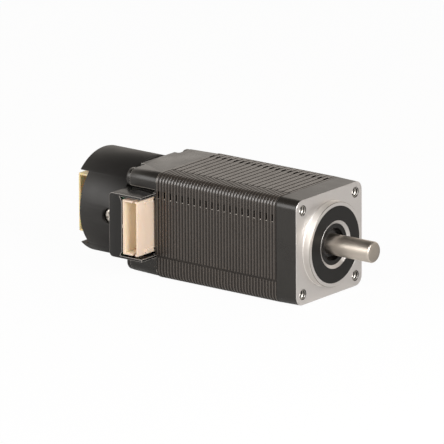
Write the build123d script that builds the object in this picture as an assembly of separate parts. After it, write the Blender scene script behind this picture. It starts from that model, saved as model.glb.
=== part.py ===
from build123d import *
import math
import os

# A 20 mm frame hybrid stepper motor with an encoder on its rear end.
# X is the motor's axis: the output shaft points to +X and the mounting face
# is at x = 0. Z is up, and the two wiring connectors open to -Y.
# All sizes are in millimetres and all angles in degrees.

# Front flange
frame_width = 20.0            # across the flats of the mounting face
frame_corner_radius = 1.85
frame_corner_steps = 5        # flats that make up each rounded corner
flange_depth = 4.6
flange_draft = 1.0            # the cast sides grow towards the stack
flange_front_wall = 1.7
bolt_edge = 2.0               # bolt centres from the sides
bolt_pitch = frame_width - 2 * bolt_edge
mounting_hole_dia = 1.6       # core of the M2 thread
mounting_hole_depth = 3.0     # the long screws fill the rest from behind
pilot_dia = frame_width - 4.0
pilot_height = 1.5
nose_cone_dia = 9.0           # mouth of the recess round the shaft
nose_floor_dia = 7.8
nose_recess_depth = 0.45
nose_hole_dia = 6.1

# Laminated stack
lamination_thickness = 0.35
lamination_count = 80
rib_proud = 0.1               # how far the high laminations pass the flange
rib_height = 0.2              # high laminations above the low ones
groove_corner_cut = 1.3
seam_offset = frame_width / 2 - 4.3   # where a lamination changes from high to low
seam_width = 0.16
slot_offset = seam_offset + 0.55
slot_length = 1.3
slot_depth = 1.0
slot_every = 4                # one lamination in four is notched
rib_corner_steps = 2          # repeated 160 times, so kept to few faces

# Stator poles and windings
stator_bore_dia = 9.7
pole_count = 8
teeth_per_pole = 5
tooth_gap = 0.3
tooth_depth = 0.3
pole_neck_width = 1.7
pole_shoe_thickness = 0.65
pole_shoe_angle = 35.0
yoke_bore_flats = frame_width - 3.4   # the winding space is eight-sided
insulator_thickness = 0.5
insulator_ring_width = 0.6
winding_liner = 0.15          # insulation between the iron and the wire
winding_thickness = 0.75
winding_top_gap = 0.55        # under the yoke
winding_corner_cut = 0.35

# Rotor
rotor_teeth = 50
rotor_air_gap = 0.06
rotor_tooth_width = 0.3
rotor_tooth_depth = 0.3
rotor_end_gap = 0.6           # cups inside the stack's ends
magnet_length = 1.5
magnet_dia = 8.6

# Shaft
shaft_dia = 4.0
shaft_reach = 10.4            # tip of the shaft from the mounting face
shaft_chamfer = 0.3
shaft_shoulder = 0.35         # the thicker part starts in the flange's hole
shaft_journal_dia = 5.0       # inside the bearings
shaft_seat_dia = 5.6          # between the bearings, where the cups are pressed on
shaft_tail_dia = 3.0          # the encoder's end
shaft_tail_end = 47.2         # tail end behind the mounting face

# Ball bearings, one in each end
bearing_dia = 9.0
bearing_width = 3.0
bearing_outer_wall = 0.75
bearing_inner_wall = 0.5
shield_thickness = 0.2
shield_clearance = 0.12
front_bearing_setback = 0.5   # front bearing's face behind the mounting face
washer_space = 0.4            # preload washer behind the rear bearing
washer_thickness = 0.3
washer_margin = 0.15

# Rear bracket
bracket_depth = 6.4           # stack to the seats of the long screws
bracket_plateau = 1.2         # raised cross on its rear face
bracket_plateau_width = frame_width / 2
bracket_draft = 1.2
end_space_flats = frame_width - 1.8   # eight-sided room for the winding ends in both end pieces
end_space_depth = 2.8
bearing_boss_wall = 0.6
bearing_boss_setback = 0.6    # clear of the insulator
bracket_bearing_setback = 2.0 # rear bearing's face behind the stack
bracket_back_hole_dia = 6.0
side_opening_front_wall = 0.4
side_opening_rim = 0.45       # rebate past each end of the connector cover
side_opening_floor = frame_width / 2 - 4.1
side_opening_rebate = 0.8

# Long screws through the stack
long_screw_dia = 2.0
long_screw_clearance = 0.1
long_screw_thread = 1.4       # length held in the flange
long_screw_head_dia = 3.6
long_screw_head_height = 1.2
long_screw_socket = 1.5
long_screw_socket_depth = 0.7
head_relief = 0.2             # connector cover round the nearest screw

# Motor connector and its board
plug_height = 3.5
plug_length = 10.5
plug_depth = 5.2
plug_wall = 0.4
plug_back_wall = 1.0
plug_pins = 6
plug_pitch = 1.5
plug_pin_width = 0.5
plug_pin_set_back = 0.8       # pin tips behind the mouth
plug_pin_from_front = 0.95
plug_key_width = 0.7          # slots in the short walls
plug_key_depth = 3.0
plug_mouth_y = frame_width / 2 + 4.8
plug_centre_z = 0.3
plug_front_setback = 0.7      # behind the stack's end
board_thickness = 0.8
board_gap = 0.1
board_margin = 0.35           # board past each end of the connector
board_inner_end = side_opening_floor + 0.4

# Connector cover
cover_wall = 0.45
cover_room_above = 0.5        # inside the cover, past the connector's ends
cover_room_below = 0.45
cover_back = 40.0
cover_front_overlap = 0.2     # its lips past the front of the side opening
cover_face_width = 2.95
cover_inner_end = side_opening_floor + 0.25
cover_corner_radius = 0.8

# Encoder cover
shell_dia = frame_width
shell_gap = 1.0               # open ring between the bracket and the cover
shell_length = 11.9
shell_wall = 1.0
shell_end_wall = 0.8
shell_notch_width = 14.0
shell_notch_depth = 2.2
shell_notch_margin = 0.4
shell_screw_from_mouth = 2.7
shell_screw_hole_dia = 3.0
shell_screw_head_dia = 2.8
shell_screw_head_height = 0.5
shell_screw_dia = 1.4
shell_screw_slot = 0.35

# Encoder
spigot_gap = 0.05             # the cover slides over the base
spigot_dia = shell_dia - 2 * shell_wall - 2 * spigot_gap
encoder_wall = 1.55
encoder_floor = 1.4
encoder_base_length = 6.0
encoder_floor_hole_dia = 7.2
base_screw_spacing = spigot_dia - 6.3
base_screw_dia = 1.6
base_screw_length = 3.0
base_screw_head_dia = 2.8
base_screw_head_height = 1.0
post_dia = 1.5
post_circle_dia = spigot_dia - 2.4
post_length = 3.7
post_angles = (30, 150, 270)
hub_dia = 6.4
hub_length = 4.4
hub_rear_from_floor = 5.8
disc_dia = spigot_dia - 2 * encoder_wall - 1.2
disc_thickness = 0.3
set_screw_dia = 1.4
set_screw_from_front = 1.4
encoder_board_dia = spigot_dia - 0.7
encoder_board_thickness = 0.8
sensor_width = 3.6
sensor_length = 4.6
sensor_thickness = 1.6
sensor_inset = 2.6            # sensor's middle inside the disc's edge
data_plug_height = 3.6
data_plug_length = 11.2
data_plug_depth = 4.6
data_plug_mouth_y = spigot_dia / 2 - 2.95
data_plug_pins = 8
data_plug_pitch = 1.25
data_plug_pin_width = 0.4

# Round parts that stay hidden, or repeat, are drawn with few sides
hidden_sides = 16
screw_sides = 10

# Fits
seat_fit = 0.01               # pressed rings and pins, on the radius
running_fit = 0.02
screw_fit = 0.02
pin_fit = 0.02

# Places along the axis that follow from the sizes above
stack_length = lamination_thickness * lamination_count
stack_front = -flange_depth
stack_back = stack_front - stack_length
bracket_seat = stack_back - bracket_depth
bracket_back = bracket_seat - bracket_plateau
front_bearing_x = -front_bearing_setback
rear_bearing_x = stack_back - bracket_bearing_setback
rear_bearing_back = rear_bearing_x - bearing_width
washer_back = rear_bearing_back - washer_space
rotor_length = stack_length - 2 * rotor_end_gap
rotor_cup_length = (rotor_length - magnet_length) / 2
rotor_front = (stack_front + stack_back + rotor_length) / 2
rotor_back = rotor_front - rotor_length
magnet_front = rotor_front - rotor_cup_length
magnet_back = magnet_front - magnet_length
rotor_radius = stator_bore_dia / 2 - rotor_air_gap
boss_radius = bearing_dia / 2 + bearing_boss_wall
front_boss_end = stack_front + bearing_boss_setback
rear_boss_end = stack_back - insulator_thickness - winding_thickness - 0.15
plug_front = stack_back - plug_front_setback
plug_back = plug_front - plug_height
board_front = plug_back - board_gap
plug_bottom = plug_centre_z - plug_length / 2
plug_top = plug_centre_z + plug_length / 2
cover_bottom = plug_bottom - cover_room_below - cover_wall
cover_top = plug_top + cover_room_above + cover_wall
shell_mouth = bracket_back - shell_gap
shell_end = shell_mouth - shell_length
base_end = bracket_back - encoder_base_length
base_floor_back = bracket_back - encoder_floor
hub_back = base_floor_back - hub_rear_from_floor
hub_front = hub_back + hub_length
encoder_board_front = base_end - post_length
encoder_board_back = encoder_board_front - encoder_board_thickness
shell_screw_x = shell_mouth - shell_screw_from_mouth
sensor_centre = disc_dia / 2 - sensor_inset
bolt_places = [
    (y * bolt_pitch / 2, z * bolt_pitch / 2) for y in (-1, 1) for z in (-1, 1)
]


def bar(x_a, x_b, sketch, taper=0.0):
    """Pull a sketch drawn in Y and Z from x_a to x_b."""
    plane = Plane.YZ.offset(x_a)
    if x_b < x_a:
        plane = Plane(origin=(x_a, 0, 0), x_dir=(0, 1, 0), z_dir=(-1, 0, 0))
        sketch = mirror(sketch, Plane.XZ)
    return extrude(plane * sketch, amount=abs(x_b - x_a), taper=taper)


def turned(*profile):
    """Turn a profile of (x, radius) points about the motor's axis."""
    return revolve(Plane.XZ * Polygon(*profile, align=None), Axis.X)


def tube(x_a, x_b, outer, inner=0.0):
    """A round bar, or a tube, between two places on the axis."""
    ring = Circle(outer)
    if inner > 0:
        ring -= Circle(inner)
    return bar(x_a, x_b, ring)


def around(radius, sides):
    """A many-sided outline that holds a circle of this radius."""
    return RegularPolygon(radius, sides, major_radius=False)


def within(radius, sides):
    """A many-sided outline that fits in a circle of this radius."""
    return RegularPolygon(radius, sides)


def hidden_tube(x_a, x_b, outer, inner):
    """A tube with few sides, which passes a round bar of the inner radius."""
    ring = within(outer, hidden_sides) - around(inner, hidden_sides)
    return bar(x_a, x_b, ring)


def octagon(flats):
    """An eight-sided outline with a flat in front of each stator pole."""
    return RegularPolygon(flats / 2, 8, major_radius=False, rotation=22.5)


def brick(x_a, x_b, y_a, y_b, z_a, z_b):
    """A block between two corners."""
    size = (abs(x_b - x_a), abs(y_b - y_a), abs(z_b - z_a))
    middle = ((x_a + x_b) / 2, (y_a + y_b) / 2, (z_a + z_b) / 2)
    return Pos(*middle) * Box(*size)


def at_bolts(x_a, x_b, outline):
    """The same bar on each of the four bolt places."""
    return [bar(x_a, x_b, Pos(y, z) * outline) for y, z in bolt_places]


def soft_square(half, radius, steps):
    """A square whose corners are rounded in a few straight steps."""
    turn = 90 / steps
    corner = half - radius
    points = [
        (
            math.copysign(corner, math.cos(math.radians(middle)))
            + radius * math.cos(math.radians(middle - 45 + turn * step)),
            math.copysign(corner, math.sin(math.radians(middle)))
            + radius * math.sin(math.radians(middle - 45 + turn * step)),
        )
        for middle in (45, 135, 225, 315)
        for step in range(steps + 1)
    ]
    return Polygon(*points, align=None)


# Front flange: a die-cast square with the pilot boss in front, a seat for the
# front bearing and room for the winding ends behind.
half_frame = frame_width / 2
frame_outline = soft_square(half_frame, frame_corner_radius, frame_corner_steps)
flange = bar(0, stack_front, frame_outline, taper=-flange_draft)
flange += tube(stack_front, pilot_height, pilot_dia / 2)
flange -= turned(
    (pilot_height, 0),
    (pilot_height, nose_cone_dia / 2),
    (pilot_height - nose_recess_depth, nose_floor_dia / 2),
    (pilot_height - nose_recess_depth, 0),
)
flange -= tube(pilot_height, stack_front, nose_hole_dia / 2)
boss = within(boss_radius, hidden_sides)
bearing_seat = around(bearing_dia / 2 + seat_fit, hidden_sides)
end_space = octagon(end_space_flats)
flange -= bar(-flange_front_wall, stack_front, end_space - boss)
flange -= bar(front_boss_end, stack_front, boss)
flange -= bar(front_bearing_x, stack_front, bearing_seat)
flange -= at_bolts(0, -mounting_hole_depth, Circle(mounting_hole_dia / 2))
screw_thread = around(long_screw_dia / 2 + screw_fit, screw_sides)
flange -= at_bolts(-mounting_hole_depth, stack_front, screw_thread)

# Laminated stack: a core at the height of the low laminations, with a band on
# each quarter of every lamination that stands high. Neighbours are turned by
# a quarter, so the bands alternate along the stack, and the seam lies where
# one set ends and the other begins. One lamination in four is notched.
groove_half = half_frame + rib_proud - rib_height
core_outline = chamfer(
    Rectangle(2 * groove_half, 2 * groove_half).vertices(), groove_corner_cut
)
winding_space = octagon(yoke_bore_flats)
bore = Circle(stator_bore_dia / 2)
shoe_outer = stator_bore_dia / 2 + pole_shoe_thickness
wedge_reach = yoke_bore_flats
wedge_half = math.radians(pole_shoe_angle / 2)
wedge = Polygon(
    (0, 0),
    (wedge_reach, -wedge_reach * math.tan(wedge_half)),
    (wedge_reach, wedge_reach * math.tan(wedge_half)),
    align=None,
)
neck = Pos((shoe_outer + yoke_bore_flats / 2) / 2, 0) * Rectangle(
    yoke_bore_flats / 2 - shoe_outer + 0.8, pole_neck_width
)
shoe = (Circle(shoe_outer) - bore) & wedge
tooth_pitch = 360 / rotor_teeth
tooth_gaps = [
    Rot(0, 0, tooth_pitch * (step - (teeth_per_pole - 2) / 2))
    * Pos(stator_bore_dia / 2, 0)
    * Rectangle(2 * tooth_depth, tooth_gap)
    for step in range(teeth_per_pole - 1)
]
pole_angles = [360 / pole_count * k for k in range(pole_count)]
poles = Sketch() + [Rot(0, 0, a) * (neck + shoe - tooth_gaps) for a in pole_angles]
stack = bar(stack_front, stack_back, core_outline - winding_space)
stack += bar(stack_front, stack_back, poles)

high_ring = soft_square(
    half_frame + rib_proud, frame_corner_radius, rib_corner_steps
)
high_ring -= core_outline
reach = frame_width
band_y = -seam_offset - seam_width / 2 - reach / 2
band_window = Pos(band_y, reach / 2 - seam_offset + seam_width / 2) * Rectangle(
    reach, reach
)
band = high_ring & band_window
bands_even = Sketch() + [band, Rot(0, 0, 180) * band]
bands_odd = Rot(0, 0, 90) * bands_even
high_bands = []
notches = []
for k in range(lamination_count):
    x_a = stack_back + k * lamination_thickness
    x_b = x_a + lamination_thickness
    sketch = bands_even if k % 2 == 0 else bands_odd
    high_bands += bar(x_a, x_b, sketch).solids()
    if k % slot_every == 1:
        place = Pos(-half_frame, slot_offset)
        notch = place * Rectangle(2 * slot_depth, slot_length)
        notches += [bar(x_a, x_b, Rot(0, 0, 90 * q) * notch) for q in range(4)]
stack += high_bands
stack -= notches
screw_room = around(long_screw_dia / 2 + long_screw_clearance, screw_sides)
stack -= at_bolts(stack_front, stack_back, screw_room)

# Insulators: one plate on each end of the stack, under the winding ends.
plate = octagon(yoke_bore_flats + 2 * insulator_ring_width) - winding_space
plate_arm = Pos(shoe_outer / 2 + yoke_bore_flats / 4, 0) * Rectangle(
    yoke_bore_flats / 2 - shoe_outer + 0.8, pole_neck_width
)
plate += [Rot(0, 0, a) * plate_arm for a in pole_angles]
front_insulator = bar(stack_front, stack_front + insulator_thickness, plate)
rear_insulator = bar(stack_back, stack_back - insulator_thickness, plate)

# Windings: one coil round each pole, four to a phase.
coil_inner_x = stack_length + 2 * insulator_thickness + 0.05
coil_inner_v = pole_neck_width + 2 * winding_liner
coil_ring = chamfer(
    Rectangle(
        coil_inner_x + 2 * winding_thickness, coil_inner_v + 2 * winding_thickness
    ).vertices(),
    winding_corner_cut,
) - Rectangle(coil_inner_x, coil_inner_v)
coil_floor = shoe_outer + winding_liner
winding_height = yoke_bore_flats / 2 - winding_top_gap - coil_floor
coil_plane = Plane(
    origin=((stack_front + stack_back) / 2, coil_floor, 0),
    x_dir=(1, 0, 0),
    z_dir=(0, 1, 0),
)
coil = extrude(coil_plane * coil_ring, amount=winding_height)
coils_a = Part() + [Rot(a, 0, 0) * coil for a in pole_angles[0::2]]
coils_b = Part() + [Rot(a, 0, 0) * coil for a in pole_angles[1::2]]

# Rotor: two toothed cups pressed on the shaft with the magnet between them,
# the rear cup turned by half a tooth.
tooth_half = math.degrees(rotor_tooth_width / 2 / rotor_radius)
root_radius = rotor_radius - rotor_tooth_depth
cup_points = []
for k in range(rotor_teeth):
    for radius, turn in (
        (rotor_radius, -tooth_half),
        (rotor_radius, tooth_half),
        (root_radius, tooth_pitch / 2),
    ):
        angle = math.radians(tooth_pitch * k + turn)
        cup_points.append((radius * math.cos(angle), radius * math.sin(angle)))
seat_radius = shaft_seat_dia / 2
cup_bore = around(seat_radius + seat_fit, screw_sides)
cup_outline = Polygon(*cup_points, align=None) - cup_bore
rotor_cup_front = bar(rotor_front, magnet_front, cup_outline)
rotor_cup_rear = bar(
    magnet_back, rotor_back, Rot(0, 0, tooth_pitch / 2) * cup_outline
)
rotor_magnet = hidden_tube(
    magnet_front, magnet_back, magnet_dia / 2, seat_radius + seat_fit
)

# Shaft: it grows from the output end to the journals and again to the rotor's
# seat, and has a thin tail for the encoder's hub.
shaft_radius = shaft_dia / 2
journal_radius = shaft_journal_dia / 2
shaft = turned(
    (shaft_reach, 0),
    (shaft_reach, shaft_radius - shaft_chamfer),
    (shaft_reach - shaft_chamfer, shaft_radius),
    (shaft_shoulder, shaft_radius),
    (shaft_shoulder, journal_radius),
    (front_bearing_x - bearing_width, journal_radius),
    (front_bearing_x - bearing_width, seat_radius),
    (rear_bearing_x, seat_radius),
    (rear_bearing_x, journal_radius),
    (washer_back, journal_radius),
    (washer_back, shaft_tail_dia / 2),
    (-shaft_tail_end, shaft_tail_dia / 2),
    (-shaft_tail_end, 0),
)


def bearing(front):
    """The outer race with its two shields, and the inner race."""
    back = front - bearing_width
    bore_radius = journal_radius + seat_fit
    race_inside = bearing_dia / 2 - bearing_outer_wall
    inner_outside = bore_radius + bearing_inner_wall
    shield_inside = inner_outside + shield_clearance
    outer = hidden_tube(front, back, bearing_dia / 2, shield_inside)
    outer -= bar(
        front - shield_thickness, back + shield_thickness,
        around(race_inside, hidden_sides),
    )
    inner = hidden_tube(front, back, inner_outside, bore_radius)
    return outer, inner


front_outer, front_inner = bearing(front_bearing_x)
rear_outer, rear_inner = bearing(rear_bearing_x)
preload_washer = hidden_tube(
    rear_bearing_back, rear_bearing_back - washer_thickness,
    bearing_dia / 2 - washer_margin,
    bearing_dia / 2 - bearing_outer_wall - washer_margin,
)

# Rear bracket: a drafted square with a raised cross behind, sunk corners for
# the screw heads, the rear bearing's seat and the opening for the connector.
bracket = bar(stack_back, bracket_back, frame_outline, taper=bracket_draft)
corner_size = (frame_width - bracket_plateau_width) / 2
corner_middle = (bracket_plateau_width + frame_width) / 4 + 0.5
for y, z in bolt_places:
    corner = Pos(
        math.copysign(corner_middle, y), math.copysign(corner_middle, z)
    ) * Rectangle(corner_size + 1, corner_size + 1)
    bracket -= bar(bracket_seat, bracket_back, corner)
bracket -= bar(stack_back, stack_back - end_space_depth, end_space - boss)
bracket -= bar(stack_back, rear_boss_end, boss)
bracket -= bar(stack_back, washer_back, bearing_seat)
back_hole = around(bracket_back_hole_dia / 2, hidden_sides)
bracket -= bar(washer_back, bracket_back, back_hole)
bracket -= at_bolts(stack_back, bracket_seat, screw_room)
opening_front = stack_back - side_opening_front_wall
rebate_y = -half_frame + side_opening_rebate
bracket -= brick(
    opening_front, bracket_back - 1, -frame_width, rebate_y,
    cover_bottom - side_opening_rim, cover_top + side_opening_rim,
)
opening_fit = 0.12
bracket -= brick(
    opening_front, bracket_back - 1, -frame_width, -side_opening_floor,
    cover_bottom - opening_fit, cover_top + opening_fit,
)
base_screw_places = [(0, s * base_screw_spacing / 2) for s in (-1, 1)]
base_screw_tip = bracket_back + base_screw_length - encoder_floor
for y, z in base_screw_places:
    bracket -= bar(
        bracket_back, base_screw_tip + 0.2,
        Pos(y, z) * around(base_screw_dia / 2 + screw_fit, screw_sides),
    )

# Long screws: socket heads in the bracket's corners, ends screwed into the
# flange from behind. The thread is drawn as a plain bar of its outer size.
head_back = bracket_seat - long_screw_head_height
screw = bar(
    bracket_seat, stack_front + long_screw_thread,
    within(long_screw_dia / 2, screw_sides),
)
screw += bar(
    bracket_seat, head_back, within(long_screw_head_dia / 2, hidden_sides)
)
screw -= bar(
    head_back, head_back + long_screw_socket_depth,
    around(long_screw_socket / 2, 6),
)
long_screws = Part() + [Pos(0, y, z) * screw for y, z in bolt_places]

# Motor connector: a side-entry housing with its mouth to -Y, slots in the
# short walls and one row of square pins that bend back into the board.
plug_inner_y = -plug_mouth_y + plug_depth
pin_x = plug_front - plug_pin_from_front
motor_plug = brick(
    plug_back, plug_front, -plug_mouth_y, plug_inner_y, plug_bottom, plug_top
)
motor_plug -= brick(
    plug_back + plug_wall, plug_front - plug_wall,
    -plug_mouth_y, plug_inner_y - plug_back_wall,
    plug_bottom + plug_wall, plug_top - plug_wall,
)
motor_plug -= brick(
    pin_x - plug_key_width / 2, pin_x + plug_key_width / 2,
    -plug_mouth_y, -plug_mouth_y + plug_key_depth,
    plug_bottom - 1, plug_top + 1,
)


def pin_row(count, pitch, width, x_pin, y_tip, y_bend, x_tail, grow=0.0):
    """A row of square pins that come in along Y and bend down to the board."""
    half = width / 2 + grow
    row = []
    for k in range(count):
        z = plug_centre_z + pitch * (k - (count - 1) / 2)
        pin = brick(x_pin - half, x_pin + half, y_tip, y_bend, z - half, z + half)
        pin += brick(
            x_tail, x_pin + half, y_bend - 2 * half, y_bend, z - half, z + half
        )
        row.append(pin)
    return Part() + row


tail_y = plug_inner_y + 0.3 + plug_pin_width
tail_x = board_front - board_thickness - 0.5
plug_pin_row = pin_row(
    plug_pins, plug_pitch, plug_pin_width, pin_x,
    -plug_mouth_y + plug_pin_set_back, tail_y, tail_x,
)
pin_room = pin_row(
    plug_pins, plug_pitch, plug_pin_width, pin_x,
    -plug_mouth_y + plug_pin_set_back, tail_y + pin_fit, tail_x, grow=pin_fit,
)
motor_plug -= pin_room
terminal_board = brick(
    board_front - board_thickness, board_front,
    -plug_mouth_y + cover_wall + 0.2, -board_inner_end,
    plug_bottom - board_margin, plug_top + board_margin,
)
terminal_board -= pin_room

# Connector cover: a moulded cap open to the front and towards the motor, with
# a window in its outer face for the connector.
cover_front = opening_front + cover_front_overlap + side_opening_front_wall
cover = brick(
    -cover_back, opening_front - 0.1, -plug_mouth_y, -cover_inner_end,
    cover_bottom, cover_top,
)
cover = fillet(
    cover.edges().filter_by(Axis.Y).group_by(Axis.X)[0], cover_corner_radius
)
cover += brick(
    opening_front - 0.2, cover_front, -plug_mouth_y, -half_frame - rib_proud - 0.2,
    cover_bottom, cover_top,
)
cover -= brick(
    -cover_back + cover_wall + 0.15, cover_front + 1,
    -plug_mouth_y + cover_wall, -cover_inner_end + 1,
    cover_bottom + cover_wall, cover_top - cover_wall,
)
cover -= brick(
    -cover_back + cover_face_width, cover_front + 1,
    -plug_mouth_y - 1, -plug_mouth_y + cover_wall + 1,
    cover_bottom + cover_wall, cover_top - cover_wall,
)
cover -= at_bolts(
    bracket_seat + head_relief, -cover_back - 1,
    around(long_screw_head_dia / 2 + head_relief, hidden_sides),
)
cover -= at_bolts(
    stack_back, bracket_seat,
    around(long_screw_dia / 2 + head_relief, hidden_sides),
)

# Encoder base: a moulded spigot screwed to the bracket, with posts that carry
# the encoder's board.
spigot_radius = spigot_dia / 2
encoder_base = bar(bracket_back, base_end, within(spigot_radius, 2 * hidden_sides))
encoder_base -= bar(
    bracket_back, base_floor_back, around(encoder_floor_hole_dia / 2, hidden_sides)
)
encoder_base -= bar(
    base_floor_back, base_end, around(spigot_radius - encoder_wall, hidden_sides)
)
for angle in post_angles:
    post = Rot(0, 0, angle) * Pos(post_circle_dia / 2, 0)
    post *= within(post_dia / 2, screw_sides)
    encoder_base += bar(base_end + 0.5, encoder_board_front, post)
base_screw_hole = around(base_screw_dia / 2 + screw_fit, screw_sides)
base_screw = bar(
    base_floor_back, base_screw_tip, within(base_screw_dia / 2, screw_sides)
)
base_screw += bar(
    base_floor_back, base_floor_back - base_screw_head_height,
    within(base_screw_head_dia / 2, screw_sides),
)
for y, z in base_screw_places:
    encoder_base -= bar(bracket_back, base_floor_back, Pos(y, z) * base_screw_hole)
base_screws = Part() + [Pos(0, y, z) * base_screw for y, z in base_screw_places]

# Encoder wheel: a hub held on the shaft's tail by a set screw, with the
# reading disc bonded behind it.
tail_radius = shaft_tail_dia / 2
hub = hidden_tube(hub_front, hub_back, hub_dia / 2, tail_radius + seat_fit)
set_screw_x = hub_front - set_screw_from_front
set_screw_line = Plane(
    origin=(set_screw_x, 0, hub_dia / 2 - 0.1), z_dir=(0, 0, -1)
)
set_screw_reach = hub_dia / 2 - 0.1 - tail_radius - seat_fit
hub -= extrude(
    Plane(origin=(set_screw_x, 0, hub_dia / 2 + 0.5), z_dir=(0, 0, -1))
    * around(set_screw_dia / 2 + screw_fit, screw_sides),
    amount=hub_dia / 2,
)
set_screw = extrude(
    set_screw_line * within(set_screw_dia / 2, screw_sides),
    amount=set_screw_reach - 0.1,
)
disc = hidden_tube(
    hub_back, hub_back - disc_thickness, disc_dia / 2, tail_radius + 0.1
)

# Encoder board, the sensor that reads the disc, and the data connector.
encoder_board = bar(
    encoder_board_front, encoder_board_back,
    within(encoder_board_dia / 2, 2 * hidden_sides),
)
sensor = brick(
    encoder_board_front, encoder_board_front + sensor_thickness,
    sensor_centre - sensor_width / 2, sensor_centre + sensor_width / 2,
    -sensor_length / 2, sensor_length / 2,
)
data_bottom = plug_centre_z - data_plug_length / 2
data_top = plug_centre_z + data_plug_length / 2
data_back = encoder_board_back - data_plug_height
data_inner_y = -data_plug_mouth_y + data_plug_depth
data_plug = brick(
    data_back, encoder_board_back, -data_plug_mouth_y, data_inner_y,
    data_bottom, data_top,
)
data_plug -= brick(
    data_back + plug_wall, encoder_board_back - plug_wall,
    -data_plug_mouth_y, data_inner_y - plug_back_wall,
    data_bottom + plug_wall, data_top - plug_wall,
)
data_pin_x = encoder_board_back - data_plug_height / 2
data_tail_y = data_inner_y + 0.3 + data_plug_pin_width
data_pin_row = pin_row(
    data_plug_pins, data_plug_pitch, data_plug_pin_width, data_pin_x,
    -data_plug_mouth_y + plug_pin_set_back, data_tail_y, encoder_board_back,
)
data_pin_room = pin_row(
    data_plug_pins, data_plug_pitch, data_plug_pin_width, data_pin_x,
    -data_plug_mouth_y + plug_pin_set_back, data_tail_y + pin_fit,
    encoder_board_back, grow=pin_fit,
)
data_plug -= data_pin_room

# Encoder cover: a turned shell over the spigot, notched at the rear for the
# data connector and held by two radial screws.
shell_radius = shell_dia / 2
shell = tube(shell_mouth, shell_end, shell_radius)
shell -= bar(
    shell_mouth, shell_end + shell_end_wall,
    around(shell_radius - shell_wall, 2 * hidden_sides),
)
shell -= brick(
    shell_end - 1, shell_end + shell_notch_depth,
    -shell_dia, data_tail_y + shell_notch_margin,
    -shell_notch_width / 2, shell_notch_width / 2,
)
radial_line = Plane(origin=(shell_screw_x, 0, 0), x_dir=(1, 0, 0), z_dir=(0, 1, 0))
shell -= extrude(
    radial_line * Circle(shell_screw_hole_dia / 2), amount=shell_dia, both=True
)
encoder_base -= extrude(
    radial_line * around(shell_screw_dia / 2 + screw_fit, screw_sides),
    amount=shell_dia, both=True,
)
side_line = Plane(
    origin=(shell_screw_x, -spigot_radius, 0), x_dir=(1, 0, 0), z_dir=(0, -1, 0)
)
side_screw = extrude(
    side_line * within(shell_screw_head_dia / 2, hidden_sides),
    amount=shell_screw_head_height,
)
side_screw += extrude(
    side_line * within(shell_screw_dia / 2, screw_sides), amount=-encoder_wall
)
cross = Rectangle(1.5, shell_screw_slot) + Rectangle(shell_screw_slot, 1.5)
side_screw -= extrude(
    Plane(
        origin=(shell_screw_x, -spigot_radius - shell_screw_head_height, 0),
        x_dir=(1, 0, 0), z_dir=(0, 1, 0),
    )
    * cross,
    amount=0.3,
)
shell_screws = Part() + [side_screw, Rot(180, 0, 0) * side_screw]

nodes = {
    "front_flange": flange,
    "stator_stack": stack,
    "front_insulator": front_insulator,
    "rear_insulator": rear_insulator,
    "phase_a_coils": coils_a,
    "phase_b_coils": coils_b,
    "rear_bracket": bracket,
    "long_screws": long_screws,
    "shaft": shaft,
    "rotor_cup_front": rotor_cup_front,
    "rotor_magnet": rotor_magnet,
    "rotor_cup_rear": rotor_cup_rear,
    "front_bearing_outer": front_outer,
    "front_bearing_inner": front_inner,
    "rear_bearing_outer": rear_outer,
    "rear_bearing_inner": rear_inner,
    "preload_washer": preload_washer,
    "motor_connector": motor_plug,
    "motor_connector_pins": plug_pin_row,
    "terminal_board": terminal_board,
    "connector_cover": cover,
    "encoder_base": encoder_base,
    "encoder_base_screws": base_screws,
    "encoder_hub": hub,
    "encoder_hub_screw": set_screw,
    "encoder_disc": disc,
    "encoder_board": encoder_board,
    "encoder_sensor": sensor,
    "encoder_connector": data_plug,
    "encoder_connector_pins": data_pin_row,
    "encoder_cover": shell,
    "encoder_cover_screws": shell_screws,
}
os.makedirs("parts", exist_ok=True)
for name, shape in nodes.items():
    export_step(shape, f"parts/{name}.step")
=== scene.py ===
import math
import bmesh
import bpy
from mathutils import Matrix, Vector


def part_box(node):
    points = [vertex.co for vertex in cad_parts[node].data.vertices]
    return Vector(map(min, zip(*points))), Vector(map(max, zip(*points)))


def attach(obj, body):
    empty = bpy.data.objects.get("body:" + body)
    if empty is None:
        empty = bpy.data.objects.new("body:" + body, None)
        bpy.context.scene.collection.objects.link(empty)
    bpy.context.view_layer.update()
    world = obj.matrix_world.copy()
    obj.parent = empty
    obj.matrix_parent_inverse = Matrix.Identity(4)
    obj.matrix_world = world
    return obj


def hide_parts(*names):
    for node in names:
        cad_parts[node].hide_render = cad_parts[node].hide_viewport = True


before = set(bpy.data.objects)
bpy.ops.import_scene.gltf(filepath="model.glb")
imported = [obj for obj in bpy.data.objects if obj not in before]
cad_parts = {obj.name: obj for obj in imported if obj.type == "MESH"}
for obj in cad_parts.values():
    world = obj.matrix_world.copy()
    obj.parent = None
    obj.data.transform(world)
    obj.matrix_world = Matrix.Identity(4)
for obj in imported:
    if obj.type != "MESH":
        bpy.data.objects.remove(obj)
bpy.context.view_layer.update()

# The whole motor lies along X with the shaft to +X, and rests on its -Z side.
# Sizes are in millimetres and turned into metres where a mesh is made.
MM = 0.001

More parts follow.
